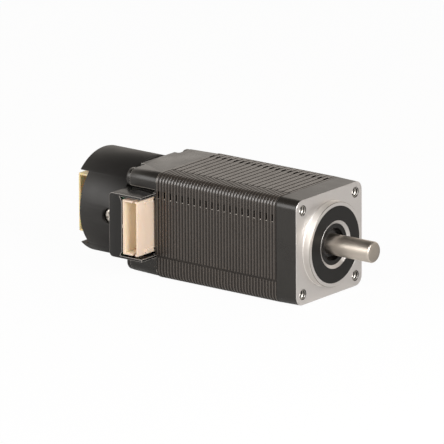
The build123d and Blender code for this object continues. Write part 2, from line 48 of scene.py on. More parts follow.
# Camera. A long lens at the photograph's angle, aimed at the motor's middle.
CAMERA_AZIMUTH = 37.984
CAMERA_ELEVATION = 15.599
CAMERA_ROLL = -0.298
CAMERA_DISTANCE = 1561.4
CAMERA_LENS = 682.53
CAMERA_SENSOR = 36.0
CAMERA_REACH = 20000.0
CAMERA_AIM = (-20.0, 0.0, 0.0)
CAMERA_SHIFT_RIGHT = -3.949
CAMERA_SHIFT_UP = 0.692
azimuth = math.radians(CAMERA_AZIMUTH)
elevation = math.radians(CAMERA_ELEVATION)
roll = math.radians(CAMERA_ROLL)
back = Vector((
    math.sin(azimuth) * math.cos(elevation),
    -math.cos(azimuth) * math.cos(elevation),
    math.sin(elevation),
))
level = Vector((math.cos(azimuth), math.sin(azimuth), 0.0))
upright = back.cross(level)
right = math.cos(roll) * level + math.sin(roll) * upright
up = math.cos(roll) * upright - math.sin(roll) * level
camera = bpy.data.objects.new("camera", bpy.data.cameras.new("camera"))
bpy.context.scene.collection.objects.link(camera)
camera.data.lens = CAMERA_LENS
camera.data.sensor_width = CAMERA_SENSOR
camera.data.clip_end = CAMERA_REACH * MM
centre = Vector(CAMERA_AIM) + CAMERA_SHIFT_RIGHT * right + CAMERA_SHIFT_UP * up
camera.matrix_world = Matrix.Translation((centre + CAMERA_DISTANCE * back) * MM) @ (
    Matrix((right, up, back)).transposed().to_4x4()
)
bpy.context.scene.camera = camera
bpy.context.scene.view_settings.view_transform = "Standard"


# Studio. White paper under the motor, in a room that is white all round. One
# soft box stands in front of the motor's rear half and one beyond the shaft.
def linear(code):
    """The linear colour of a screen colour such as #8a867f."""
    parts = [int(code[i:i + 2], 16) / 255 for i in (1, 3, 5)]
    return tuple(
        p / 12.92 if p <= 0.04045 else ((p + 0.055) / 1.055) ** 2.4 for p in parts
    ) + (1.0,)


def add(tree, kind, inputs=None, **settings):
    """Adds a node, sets it, and fills its inputs with values or links."""
    made = tree.nodes.new(kind)
    for key, value in settings.items():
        setattr(made, key, value)
    for key, value in (inputs or {}).items():
        if isinstance(value, bpy.types.NodeSocket):
            tree.links.new(value, made.inputs[key])
        else:
            made.inputs[key].default_value = value
    return made


def reckon(tree, operation, *values):
    """The result of one sum on numbers or on what other nodes give."""
    return add(tree, "ShaderNodeMath", dict(enumerate(values)),
               operation=operation).outputs[0]


def blend(tree, share, one, two):
    """A colour between two others, by a share."""
    return add(tree, "ShaderNodeMix", {0: share, 6: one, 7: two},
               data_type="RGBA").outputs[2]


def new_material(name):
    """An empty material: its tree and its output node."""
    material = bpy.data.materials.new(name)
    material.use_nodes = True
    material.node_tree.nodes.clear()
    return material, material.node_tree, add(
        material.node_tree, "ShaderNodeOutputMaterial"
    )


# The room is white up to head height and dark at the ceiling, so that upward
# curves of black and metal pieces have something dark to show. The ceiling's
# limits are heights on a globe of radius 1.
ROOM_LIGHT = 1.0
CEILING_LIGHT = 0.1
CEILING_STARTS = 0.42
CEILING_FULL = 0.72
ROOM_TINT = "#fff7ee"
WHITE = (1, 1, 1, 1)
world = bpy.data.worlds.new("studio")
world.use_nodes = True
bpy.context.scene.world = world
sky = world.node_tree
sky.nodes.clear()
rays = add(sky, "ShaderNodeLightPath")
seen = reckon(sky, "MAXIMUM", rays.outputs["Is Camera Ray"],
              rays.outputs["Is Transmission Ray"])
heading = add(sky, "ShaderNodeTexCoord").outputs["Generated"]
height = add(sky, "ShaderNodeSeparateXYZ", {"Vector": heading}).outputs["Z"]
room = add(sky, "ShaderNodeMapRange", {
    "Value": height, "From Min": CEILING_STARTS, "From Max": CEILING_FULL,
    "To Min": ROOM_LIGHT, "To Max": CEILING_LIGHT}, interpolation_type="SMOOTHSTEP")
strength = add(sky, "ShaderNodeMapRange", {"Value": seen, "To Min": room.outputs[0],
                                           "To Max": 1.0})
glow = add(sky, "ShaderNodeBackground", {
    "Color": blend(sky, seen, linear(ROOM_TINT), WHITE),
    "Strength": strength.outputs[0]})
add(sky, "ShaderNodeOutputWorld", {"Surface": glow.outputs[0]})

# Matt white paper, just under the ribs: the camera sees it nearly white, and it
# keeps the motor's shadow.
FLOOR_Z = -10.16
FLOOR_HALF = 1200.0
PAPER_GLOW = 0.96
paper, tree, out = new_material("white_paper")
rays = add(tree, "ShaderNodeLightPath")
sheet = add(tree, "ShaderNodeBsdfDiffuse", {"Color": linear("#f4f4f4")})
bright = add(tree, "ShaderNodeEmission", {"Color": WHITE, "Strength": 1.0})
lit = reckon(tree, "MULTIPLY", rays.outputs["Is Camera Ray"], PAPER_GLOW)
mixed = add(tree, "ShaderNodeMixShader", {0: lit, 1: sheet.outputs[0],
                                          2: bright.outputs[0]})
tree.links.new(mixed.outputs[0], out.inputs["Surface"])
floor_mesh = bpy.data.meshes.new("floor")
floor_mesh.from_pydata(
    [(side_x * FLOOR_HALF * MM, side_y * FLOOR_HALF * MM, FLOOR_Z * MM)
     for side_x, side_y in ((-1, -1), (1, -1), (1, 1), (-1, 1))],
    [], [(0, 1, 2, 3)],
)
floor = bpy.data.objects.new("floor", floor_mesh)
bpy.context.scene.collection.objects.link(floor)
floor_mesh.materials.append(paper)


def soft_box(name, place, aim, width, height, watts):
    """A rectangular lamp at a place in millimetres, turned to face a point."""
    lamp = bpy.data.lights.new(name, "AREA")
    lamp.shape = "RECTANGLE"
    lamp.size = width * MM
    lamp.size_y = height * MM
    lamp.energy = watts
    made = bpy.data.objects.new(name, lamp)
    bpy.context.scene.collection.objects.link(made)
    facing = (Vector(aim) - Vector(place)).normalized()
    made.matrix_world = Matrix.Translation(Vector(place) * MM) @ (
        facing.to_track_quat("-Z", "Y").to_matrix().to_4x4()
    )


soft_box("key_lamp", place=(-190, -230, 110), aim=(-20, 0, 0), width=260, height=150,
         watts=0.36)
soft_box("side_lamp", place=(220, -75, 110), aim=(-10, -5, 0), width=170, height=150,
         watts=0.6)

# Front flange. A die-cast aluminium square with a baked black coat on its
# sides; the mounting face is machined bare after coating. Lofted from rounded
# squares, with the four M2 holes cut in as threaded bores.
COAT_BLACK = "#22201d"
FLANGE_CORNER = 1.85
FLANGE_GROWTH = 0.09
BOLT_PLACE = 8.0
BOLTS = [(side_y * BOLT_PLACE, side_z * BOLT_PLACE)
         for side_y in (-1, 1) for side_z in (-1, 1)]
CORNER_STEPS = 12
SHARP_TURN = 35.0


def cad_corners(node):
    """The lowest and the highest corner of a CAD node, in millimetres."""
    return [[round(float(v) / MM, 3) for v in corner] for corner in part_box(node)]


NOSE = cad_corners("front_flange")[1][0]
STACK_FRONT = cad_corners("stator_stack")[1][0]
FRAME_HALF = cad_corners("rear_bracket")[1][1]


def rounded_square(half, radius):
    """The (y, z) points of a square with round corners, counter-clockwise."""
    points = []
    for quarter, (side_y, side_z) in enumerate(((1, 1), (-1, 1), (-1, -1), (1, -1))):
        for step in range(CORNER_STEPS + 1):
            angle = math.radians(90 * quarter + 90 * step / CORNER_STEPS)
            points.append((side_y * (half - radius) + radius * math.cos(angle),
                           side_z * (half - radius) + radius * math.sin(angle)))
    return points


def mark_sharp(work):
    """Makes every face smooth and every edge that turns far enough sharp."""
    for face in work.faces:
        face.smooth = True
    for edge in work.edges:
        if len(edge.link_faces) == 2:
            edge.smooth = edge.calc_face_angle(0.0) < math.radians(SHARP_TURN)


def build(name, work, materials=()):
    """Turns a bmesh in millimetres into a piece with smooth faces."""
    bmesh.ops.remove_doubles(work, verts=work.verts, dist=1e-5)
    bmesh.ops.recalc_face_normals(work, faces=work.faces)
    mark_sharp(work)
    bmesh.ops.scale(work, vec=(MM, MM, MM), verts=work.verts)
    mesh = bpy.data.meshes.new(name)
    work.to_mesh(mesh)
    work.free()
    for material in materials:
        mesh.materials.append(material)
    piece = bpy.data.objects.new(name, mesh)
    bpy.context.scene.collection.objects.link(piece)
    return piece


def skin(rings, closed=False, work=None):
    """Faces between rings of points, where a ring may be a single point. Both
    ends are capped unless closed."""
    work = bmesh.new() if work is None else work
    loops = [[work.verts.new(point) for point in ring] for ring in rings]
    pairs = list(zip(loops, loops[1:]))
    if closed:
        pairs.append((loops[-1], loops[0]))
    for one, two in pairs:
        for k in range(max(len(one), len(two))):
            corners = list(dict.fromkeys((
                one[k % len(one)], one[(k + 1) % len(one)],
                two[(k + 1) % len(two)], two[k % len(two)])))
            if len(corners) > 2:
                work.faces.new(corners)
    if not closed and len(loops[0]) > 2:
        work.faces.new(loops[0])
        work.faces.new(list(reversed(loops[-1])))
    return work


def loft(rings, closed=False, work=None):
    """A skin over rings that each lie at one place along X."""
    return skin([[(x, y, z) for y, z in points] for x, points in rings], closed, work)


def lathe(profile, steps, closed=False, centre=(0.0, 0.0)):
    """A skin turned about a line along X from a profile of (x, radius). A
    profile that isn't closed starts and ends on that line."""
    return skin([[(x, centre[0] + radius * math.cos(2 * math.pi * k / steps),
                   centre[1] + radius * math.sin(2 * math.pi * k / steps))
                  for k in range(steps if radius > 0 else 1)]
                 for x, radius in profile], closed)


def bake_modifiers(piece):
    """Replaces a piece's mesh by what its modifiers make of it."""
    graph = bpy.context.evaluated_depsgraph_get()
    old = piece.data
    piece.data = bpy.data.meshes.new_from_object(piece.evaluated_get(graph))
    piece.data.name = piece.name
    piece.modifiers.clear()
    bpy.data.meshes.remove(old)


def cut(piece, *cutters, operation="DIFFERENCE"):
    """Cuts pieces out of a piece, or joins them to it, and removes them."""
    for cutter in cutters:
        change = piece.modifiers.new("cut", "BOOLEAN")
        change.object = cutter
        change.operation = operation
        change.solver = "EXACT"
        bake_modifiers(piece)
        bpy.data.objects.remove(cutter)


def settle(piece):
    """Marks smooth faces and sharp edges again after a cut."""
    work = bmesh.new()
    work.from_mesh(piece.data)
    bmesh.ops.remove_doubles(work, verts=work.verts, dist=1e-8)
    mark_sharp(work)
    work.to_mesh(piece.data)
    work.free()


def mm_scale(feature):
    """Texture scale whose features are about this many millimetres wide."""
    return 1000.0 / feature


def new_finish(name):
    """An empty material for a piece, with each point's place on that piece."""
    material, tree, out = new_material(name)
    return material, tree, out, add(tree, "ShaderNodeTexCoord").outputs["Object"]


def noise(tree, place, feature, detail):
    """Soft noise with features that many millimetres wide."""
    return add(tree, "ShaderNodeTexNoise", {
        "Vector": place, "Scale": mm_scale(feature), "Detail": detail}).outputs["Fac"]


def spread(tree, value, low, high):
    """The middle part of a noise's range, spread from low to high."""
    return add(tree, "ShaderNodeMapRange", {
        "Value": value, "From Min": 0.3, "From Max": 0.7,
        "To Min": low, "To Max": high}).outputs[0]


def bumps(tree, height, strength, depth):
    """The slopes of a surface with bumps that many millimetres deep."""
    return add(tree, "ShaderNodeBump", {
        "Height": height, "Strength": strength, "Distance": depth * MM}).outputs[0]


def shaded(colour, share):
    """A screen colour made darker or lighter by a share."""
    return tuple(share * c for c in linear(colour)[:3]) + (1.0,)


def surface(tree, out, looks):
    """Ends a material with a surface that looks like this."""
    shader = add(tree, "ShaderNodeBsdfPrincipled", looks)
    tree.links.new(shader.outputs[0], out.inputs["Surface"])


# Baked satin enamel: near-black with a brown cast. Its fine orange peel breaks up
# the gloss, and patches 4 mm wide are a little duller than the rest.
PATCH = 4.0


def coat_material(name, colour, rough, peel=0.22, depth=0.004, shine=0.5):
    """A thin coat with an orange peel of that width and depth in millimetres."""
    material, tree, out, place = new_finish(name)
    patches = noise(tree, place, PATCH, 3.0)
    surface(tree, out, {
        "Base Color": blend(tree, patches, shaded(colour, 0.88), shaded(colour, 1.15)),
        "Specular IOR Level": shine,
        "Roughness": spread(tree, patches, rough - 0.03, rough + 0.04),
        "Normal": bumps(tree, noise(tree, place, peel, 2.0), 0.6, depth)})
    return material


def plain_material(name, colour, rough, metal=0.0, feature=0.5, depth=0.01,
                   change=0.06):
    """One even material with a fine grain in its surface and its gloss."""
    material, tree, out, place = new_finish(name)
    grain = noise(tree, place, feature, 3.0)
    surface(tree, out, {
        "Base Color": linear(colour), "Metallic": metal,
        "Roughness": spread(tree, grain, rough - change, rough + change),
        "Normal": bumps(tree, grain, 0.4, depth)})
    return material


coat = coat_material("baked_black_enamel", COAT_BLACK, 0.29)

# Faced aluminium: bare and pale, with the fine rings that the tool leaves, which
# stretch its highlights across the face.
MACHINED = "#ccc9c7"


def from_axis(tree, place):
    """A place's parts along X, Y and Z, and its distance from the motor's axis."""
    apart = add(tree, "ShaderNodeSeparateXYZ", {"Vector": place}).outputs
    flat = add(tree, "ShaderNodeCombineXYZ", {"X": apart["Y"], "Y": apart["Z"]})
    reach = add(tree, "ShaderNodeVectorMath", {0: flat.outputs[0]}, operation="LENGTH")
    return apart, reach.outputs["Value"]


machined, tree, out, place = new_finish("machined_aluminium")
apart, reach = from_axis(tree, place)
ring_place = add(tree, "ShaderNodeCombineXYZ", {"X": reach, "Y": apart["X"]})
grain = noise(tree, place, 0.35, 4.0)
tool_rings = reckon(tree, "ADD", noise(tree, ring_place.outputs[0], 0.12, 3.0), grain)
surface(tree, out, {
    "Base Color": linear(MACHINED), "Metallic": 1.0,
    "Roughness": spread(tree, grain, 0.38, 0.5),
    "Normal": bumps(tree, tool_rings, 0.35, 0.004)})

# Threads: bare cut metal where a flank faces out. Every other face of the bore is a
# near-black coat as painted shade, where the light hardly reaches.
tapped = plain_material("tapped_thread", "#a8a49e", 0.35, metal=1.0, feature=0.2,
                        depth=0.003)
thread_shade = coat_material("coat_in_threads", "#080807", 0.5, shine=0.2)
FACED, TAPPED, SHADED = 1, 2, 3
EDGE_BREAK = 0.06
BACK_BREAK = 0.12
BACK_CORNER = FLANGE_CORNER + 0.05
flange = build("flange_body", loft([
    (0.0, rounded_square(FRAME_HALF - EDGE_BREAK, FLANGE_CORNER - EDGE_BREAK)),
    (-EDGE_BREAK, rounded_square(FRAME_HALF, FLANGE_CORNER)),
    (STACK_FRONT + BACK_BREAK, rounded_square(FRAME_HALF + FLANGE_GROWTH, BACK_CORNER)),
    (STACK_FRONT, rounded_square(FRAME_HALF + FLANGE_GROWTH - BACK_BREAK,
                                 BACK_CORNER - BACK_BREAK)),
]), (coat, machined, tapped, thread_shade))
END_SPACE = 9.1
FRONT_WALL = 1.7
BOSS_WEB = 7.4
cut(flange, build("flange_hollow", lathe([
    (1.0, 0), (1.0, BOSS_WEB), (-FRONT_WALL, BOSS_WEB), (-FRONT_WALL, END_SPACE),
    (STACK_FRONT - 1, END_SPACE), (STACK_FRONT - 1, 0)], 96)))

# The M2 threads. Their real pitch of 0.4 mm is too fine to show, so the rings
# are drawn 0.6 mm apart.
THREAD_CORE = 0.8
THREAD_CREST = 1.0
THREAD_PITCH = 0.6
THREAD_FLANK = 0.26
THREAD_FLAT = 0.18
THREAD_START = -0.2
BORE_SHADE = 1.3
for bolt in BOLTS:
    bore = [(0.5, 0), (0.5, THREAD_CREST + 0.28), (0.0, THREAD_CREST + 0.02),
            (THREAD_START + 0.04, THREAD_CORE + 0.1)]
    turn = THREAD_START
    while turn > STACK_FRONT - 0.4:
        bore += [(turn, THREAD_CORE), (turn - THREAD_FLANK, THREAD_CREST),
                 (turn - THREAD_FLANK - THREAD_FLAT, THREAD_CREST)]
        turn -= THREAD_PITCH
    bore += [(turn, THREAD_CORE), (turn, 0)]
    cut(flange, build("bolt_bore", lathe(bore, 32, centre=bolt)))
settle(flange)
for face in flange.data.polygons:
    x, y, z = face.center / MM
    if x > -EDGE_BREAK - 0.015:
        face.material_index = FACED
    if x < THREAD_START + 0.03 and min(
            math.hypot(y - bolt[0], z - bolt[1]) for bolt in BOLTS) < BORE_SHADE:
        face.material_index = TAPPED if face.normal.x > 0.3 else SHADED
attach(flange, "housing")
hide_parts("front_flange")

# Pilot boss. The raised round nose of the same casting: its wall and the outer
# ring of its face are turned bare, the middle keeps its coat, and the recess
# round the shaft starts with a bare cone.
PILOT = 8.0
PILOT_EDGE = 0.1
TURNED_RING = 7.3
TURNED_STEP = 0.03
CONE_MOUTH = 4.5
CONE_FLOOR = 3.9
RECESS = 0.45
SHAFT_HOLE = 3.05
SEAT = 4.51
SEAT_FRONT = -0.5
SEAT_BACK = -4.0
SEAT_WALL = 5.1
# The coat on the nose is the flange's, but matt from handling. The turned wall is a
# lighter copy of the metal as a painted highlight, and its broken edge a darker copy, a
# painted shade line round it.
nose_black = coat_material("black_enamel_nose", "#0e0d0c", 0.36, shine=0.25)
pilot_wall_highlight = plain_material("turned_pilot_wall", "#efece8", 0.34, metal=1.0,
                             feature=0.2, depth=0.003)
pilot_edge_shade = plain_material("broken_edge", "#a19d97", 0.4, metal=1.0, feature=0.2)
WALL_HIGHLIGHT, EDGE_SHADE = 2, 3
nose = build("flange_nose", lathe([
    (-FRONT_WALL, BOSS_WEB), (0.0, BOSS_WEB), (0.0, PILOT + 0.08),
    (0.08, PILOT), (NOSE - PILOT_EDGE, PILOT), (NOSE, PILOT - PILOT_EDGE),
    (NOSE, TURNED_RING), (NOSE - TURNED_STEP, TURNED_RING - TURNED_STEP),
    (NOSE - TURNED_STEP, CONE_MOUTH + TURNED_STEP), (NOSE, CONE_MOUTH),
    (NOSE - RECESS + 0.03, CONE_FLOOR + 0.02), (NOSE - RECESS, CONE_FLOOR - 0.04),
    (NOSE - RECESS, SHAFT_HOLE + 0.07), (NOSE - RECESS - 0.07, SHAFT_HOLE),
    (SEAT_FRONT, SHAFT_HOLE), (SEAT_FRONT, SEAT), (SEAT_BACK, SEAT),
    (SEAT_BACK, SEAT_WALL), (-FRONT_WALL, SEAT_WALL)], 128, closed=True),
    (nose_black, machined, pilot_wall_highlight, pilot_edge_shade))
for face in nose.data.polygons:
    x = face.center.x / MM
    radius = math.hypot(face.center.y, face.center.z) / MM
    if x > -0.1 and radius > TURNED_RING - 0.02 or (
            x > 1.0 and CONE_FLOOR < radius < CONE_MOUTH + 0.02):
        face.material_index = FACED
    if radius > PILOT - PILOT_EDGE and NOSE - PILOT_EDGE < x < NOSE - 0.001:
        face.material_index = EDGE_SHADE
    elif radius > PILOT - PILOT_EDGE and 0 < x < NOSE - PILOT_EDGE:
        face.material_index = WALL_HIGHLIGHT
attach(nose, "housing")
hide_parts("front_flange")

# Output shaft. Ground steel, 4 mm, with a small chamfer and the centre mark
# left by turning; it runs back through the rotor to the encoder.
(SHAFT_TAIL, _, _), (SHAFT_TIP, _, _) = cad_corners("shaft")
FRONT_SHOULDER = cad_corners("front_bearing_outer")[0][0]
REAR_SHOULDER = cad_corners("rear_bearing_outer")[1][0]
SHAFT = 2.0
JOURNAL = 2.5
ROTOR_SEAT = 2.8
TAIL = 1.5
JOURNAL_START = 0.25
TAIL_START = -38.0
CHAMFER = 0.26
# Ground steel: fine marks run round it and hardly along it, so a highlight
# spreads lengthways. Faint clouds 2.5 mm wide are its handling marks.
shaft_steel, tree, out, place = new_finish("ground_shaft")
long_place = add(tree, "ShaderNodeMapping", {"Vector": place,
                                             "Scale": (1.0, 0.05, 0.05)})
marks = noise(tree, long_place.outputs[0], 0.08, 3.0)
surface(tree, out, {
    "Base Color": linear("#ccc4ba"), "Metallic": 1.0, "Anisotropic": 0.4,
    "Roughness": spread(tree, noise(tree, place, 2.5, 2.0), 0.36, 0.46),
    "Normal": bumps(tree, marks, 0.3, 0.003)})
# The journal inside the recess is painted near-black as painted shade, so that it shows
# as a dark ring there. The tip is turned, not ground, and looks duller and greyer.
journal_shade = plain_material("oiled_journal", "#161514", 0.5)
turned_end = plain_material("turned_end", "#a19a91", 0.42, metal=1.0, feature=0.25,
                            depth=0.006)
JOURNAL_SHADE, TURNED = 1, 2
shaft = build("motor_shaft", lathe([
    (SHAFT_TIP - 0.05, 0), (SHAFT_TIP - 0.01, 0.12), (SHAFT_TIP, 0.16),
    (SHAFT_TIP, SHAFT - 0.28), (SHAFT_TIP - 0.04, SHAFT - 0.22),
    (SHAFT_TIP - CHAMFER, SHAFT - 0.02), (SHAFT_TIP - CHAMFER - 0.06, SHAFT),
    (JOURNAL_START + 0.1, SHAFT), (JOURNAL_START, JOURNAL), (FRONT_SHOULDER, JOURNAL),
    (FRONT_SHOULDER, ROTOR_SEAT), (REAR_SHOULDER, ROTOR_SEAT),
    (REAR_SHOULDER, JOURNAL), (TAIL_START, JOURNAL), (TAIL_START, TAIL),
    (SHAFT_TAIL + 0.2, TAIL), (SHAFT_TAIL, TAIL - 0.2), (SHAFT_TAIL, 0)], 64),
    (shaft_steel, journal_shade, turned_end))
for face in shaft.data.polygons:
    if FRONT_SHOULDER - 0.1 < face.center.x / MM < JOURNAL_START + 0.09:
        face.material_index = JOURNAL_SHADE
    elif face.normal.x > 0.8 and face.center.x / MM > SHAFT_TIP - 0.2:
        face.material_index = TURNED
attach(shaft, "rotor")
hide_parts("shaft")

# Laminated stack. Eighty punched and coated steel laminations, each a quarter
# turn from the last, so that high and low edges alternate and leave forty ribs
# on every side. In each four, one has notches and one is also raised along the
# middle of its low sides, so the top and underside show wider stripes.
PLATE = 0.35
PLATES = 80
PLATES_IN_TURN = 4
HIGH = cad_corners("stator_stack")[1][2]
LOW = 10.04
HIGH_CORNER = 1.85
LOW_CORNER = 1.65
CORNER_FLATS = 7
PLATE_ROUND = 0.045
SEAM = 5.7
SEAM_GAP = 0.19
NOTCH_LOW = 5.5
NOTCH_HIGH = 6.85
NOTCH_DEPTH = 1.1
BURR = 0.12
YOKE = 8.6
GROOVE_SHADE, BURR_GLINT, NOTCH_SHADE = 1, 2, 3
# The enamel shines more on the ribs' edges than on the castings, and there it is a
# lighter copy as a painted highlight. Between the ribs and on the low edges, a darker and
# duller copy is painted shade, and the notches are painted black as painted shade. At one
# end of each notch, the punched burr is a pale painted glint.
lamination_coat = coat_material("rubbed_lamination_coat", "#3e3731", 0.22, peel=0.15,
                                shine=0.9)
shaded_lamination_coat = coat_material("dull_lamination_coat", "#2a2623", 0.5, peel=0.15,
                                shine=0.25)
# Painted shade: the notches and inner rims are painted black.
notch_shade_black = coat_material("coat_pooled_in_notches", "#040404", 0.7, shine=0.05)
# A painted glint: the burr is pale where it catches the light.
punched_burr = plain_material("punched_burr", "#b9b4ae", 0.4, feature=0.1)


def plate_edge(inset, notched, raised):
    """The outline of one lamination, high on two opposite quarters: from the
    seam on one side, round a corner, to the seam on the next. A raised one is
    also high along the main sides of its low quarters."""
    points = []
    for quarter in range(4):
        turn = math.radians(90 * quarter)
        high = quarter % 2 == 0
        half = (HIGH if high else LOW) - inset
        radius = HIGH_CORNER if high else LOW_CORNER
        gap = SEAM_GAP if high else -SEAM_GAP
        side = HIGH - inset if raised else half
        run = [(-side, -SEAM + gap)]
        if notched:
            run += [(-half, NOTCH_LOW - BURR + inset),
                    (-half + BURR + 0.03, NOTCH_LOW + inset),
                    (-half + NOTCH_DEPTH, NOTCH_LOW + inset),
                    (-half + NOTCH_DEPTH, NOTCH_HIGH - inset),
                    (-half, NOTCH_HIGH - inset)]
        else:
            run += [(-side, NOTCH_LOW), (-side, NOTCH_HIGH)]
        for step in range(CORNER_FLATS + 1):
            angle = math.radians(90 * step / CORNER_FLATS)
            run.append((-(half - radius) - radius * math.cos(angle),
                        (half - radius) + radius * math.sin(angle)))
        run.append((-SEAM - gap, half))
        for y, z in run:
            points.append((y * math.cos(turn) + z * math.sin(turn),
                           -y * math.sin(turn) + z * math.cos(turn)))
    return points


def plate_piece(name, notched=False, raised=False):
    """One lamination from its front face back, as a ring with an open yoke."""
    rings = [(x, plate_edge(inset, notched, raised)) for x, inset in (
        (0.0, PLATE_ROUND), (-PLATE_ROUND, 0.0), (-PLATE + PLATE_ROUND, 0.0),
        (-PLATE, PLATE_ROUND))]
    inner = []
    for y, z in rings[0][1]:
        share = YOKE / max(math.hypot(y, z), YOKE)
        inner.append((y * share, z * share))
    work = loft([(0.0, inner)] + rings + [(-PLATE, inner)], closed=True)
    finish = work.faces.layers.int.new("edge_finish")
    work.faces.ensure_lookup_table()
    count = len(inner)
    # Faces take painted light by number: the burr a painted glint, notch walls and inner
    # rims black painted shade, and flat faces, corner ends and low edges the darker
    # painted shade copy.
    for number, face in enumerate(work.faces):
        band, k = divmod(number, count)
        quarter, place = divmod(k, count // 4)
        flat_face = band in (0, 4, 5)
        if notched and place == 1:
            face[finish] = BURR_GLINT
        elif notched and 2 <= place <= 4 or flat_face and place == 1:
            face[finish] = NOTCH_SHADE
        elif (flat_face or place == count // 4 - 1
              or quarter % 2 == 1 and not (raised and place <= 2)):
            face[finish] = GROOVE_SHADE
    return build(name, work, (lamination_coat,))


def new_group(name, shape, inputs, result):
    """An empty node group that takes a shape and named inputs: its tree, the
    inputs given to it, and their identifiers."""
    tree = bpy.data.node_groups.new(name, "GeometryNodeTree")
    panel = tree.interface
    panel.new_socket(shape, in_out="INPUT", socket_type="NodeSocketGeometry")
    sockets = {label: panel.new_socket(label, in_out="INPUT", socket_type=kind).identifier
               for label, (kind, value) in inputs.items()}
    panel.new_socket(result, in_out="OUTPUT", socket_type="NodeSocketGeometry")
    return tree, add(tree, "NodeGroupInput").outputs, sockets


def point_line(tree, given, axis):
    """Points down an axis from the place First, one Pitch apart."""
    down = reckon(tree, "MULTIPLY", given["Pitch"], -1.0)
    step = add(tree, "ShaderNodeCombineXYZ", {axis: down})
    start = add(tree, "ShaderNodeCombineXYZ", {axis: given["First"]})
    return add(tree, "GeometryNodeMeshLine", {
        "Count": given["Count"], "Start Location": start.outputs[0],
        "Offset": step.outputs[0]}, mode="OFFSET").outputs[0]


def run_group(piece, tree, sockets, inputs):
    """Runs a node group on a piece, with these inputs, and keeps its result."""
    running = piece.modifiers.new(tree.name, "NODES")
    running.node_group = tree
    for label, (kind, value) in inputs.items():
        running[sockets[label]] = value
    bake_modifiers(piece)


plain_plate = plate_piece("lamination_stack")
raised_plate = plate_piece("raised_lamination", raised=True)
notched_plate = plate_piece("notched_lamination", notched=True)
stack_inputs = {
    "Raised plate": ("NodeSocketObject", raised_plate),
    "Notched plate": ("NodeSocketObject", notched_plate),
    "Count": ("NodeSocketInt", PLATES),
    "Pitch": ("NodeSocketFloat", PLATE * MM),
    "First": ("NodeSocketFloat", STACK_FRONT * MM),
    "Plates in turn": ("NodeSocketInt", PLATES_IN_TURN),
    "Coat": ("NodeSocketMaterial", lamination_coat),
    "Dull coat": ("NodeSocketMaterial", shaded_lamination_coat),
    "Bare metal": ("NodeSocketMaterial", punched_burr),
    "Inside coat": ("NodeSocketMaterial", notch_shade_black),
}
tree, given, sockets = new_group("stack_of_laminations", "Plate", stack_inputs, "Stack")
line = point_line(tree, given, "X")
index = add(tree, "GeometryNodeInputIndex").outputs[0]
quarter = reckon(tree, "MULTIPLY_ADD", reckon(tree, "MODULO", index, 2.0),
                 math.pi / 2, math.pi / 2)
turned = add(tree, "ShaderNodeCombineXYZ", {"X": quarter})
phase = reckon(tree, "MODULO", index, given["Plates in turn"])
kinds = [given["Plate"], given["Plate"]] + [
    add(tree, "GeometryNodeObjectInfo", {"Object": given[label]},
        transform_space="ORIGINAL").outputs["Geometry"]
    for label in ("Notched plate", "Raised plate")]
rows = []
for place_in_turn, kind in enumerate(kinds):
    here = add(tree, "FunctionNodeCompare", {"A": phase, "B": float(place_in_turn)},
               data_type="FLOAT", operation="EQUAL")
    rows.append(add(tree, "GeometryNodeInstanceOnPoints", {
        "Points": line, "Selection": here.outputs[0],
        "Instance": kind, "Rotation": turned.outputs[0]}))
joined = add(tree, "GeometryNodeJoinGeometry")
for instances in rows:
    tree.links.new(instances.outputs[0], joined.inputs[0])
real = add(tree, "GeometryNodeRealizeInstances", {"Geometry": joined.outputs[0]})
painted = add(tree, "GeometryNodeSetMaterial", {"Geometry": real.outputs[0],
                                                "Material": given["Coat"]})
finish = add(tree, "GeometryNodeInputNamedAttribute", {"Name": "edge_finish"},
             data_type="INT").outputs["Attribute"]
# The plates' faces are split into the lit copy of the coat, painted shade, a painted
# glint and black painted notch shade.
layer = painted
for number, label in ((GROOVE_SHADE, "Dull coat"), (BURR_GLINT, "Bare metal"),
                      (NOTCH_SHADE, "Inside coat")):
    chosen = add(tree, "FunctionNodeCompare", {"A": finish, "B": number},
                 data_type="INT", operation="EQUAL")
    layer = add(tree, "GeometryNodeSetMaterial", {
        "Geometry": layer.outputs[0], "Selection": chosen.outputs[0],
        "Material": given[label]})
add(tree, "NodeGroupOutput", {"Stack": layer.outputs[0]})
run_group(plain_plate, tree, sockets, stack_inputs)
for plate in (raised_plate, notched_plate):
    bpy.data.objects.remove(plate)
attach(plain_plate, "housing")
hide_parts("stator_stack")

# Stator poles. The inner part of the same laminations: eight poles with five
# teeth each, bare at the bore.
STACK_BACK = cad_corners("stator_stack")[0][0]
BORE = 4.85
POLES = 8
POLE_NECK = 0.85
SHOE = 5.5
SHOE_ANGLE = 17.5
TEETH = 5
TOOTH_DEPTH = 0.3
TOOTH_STEP = 7.2
TOOTH_HALF = 1.8
WAVE_PER_MM = 1000 / 6.4
# Bare silicon steel: dull grey, with the lines of the laminations across it.
iron, tree, out, place = new_finish("bare_silicon_steel")
layers = add(tree, "ShaderNodeTexWave", {"Vector": place, "Scale": WAVE_PER_MM / PLATE,
                                         "Distortion": 0.0},
             wave_type="BANDS", bands_direction="X")
rough = add(tree, "ShaderNodeMapRange", {"Value": noise(tree, place, 1.2, 2.0),
                                         "To Min": 0.4, "To Max": 0.6})
surface(tree, out, {
    "Base Color": linear("#8f8b86"), "Metallic": 1.0, "Roughness": rough.outputs[0],
    "Normal": bumps(tree, layers.outputs["Fac"], 0.5, 0.02)})


def arc(radius, *degrees):
    """Points on a circle at these angles."""
    return [(radius * math.cos(math.radians(a)), radius * math.sin(math.radians(a)))
            for a in degrees]


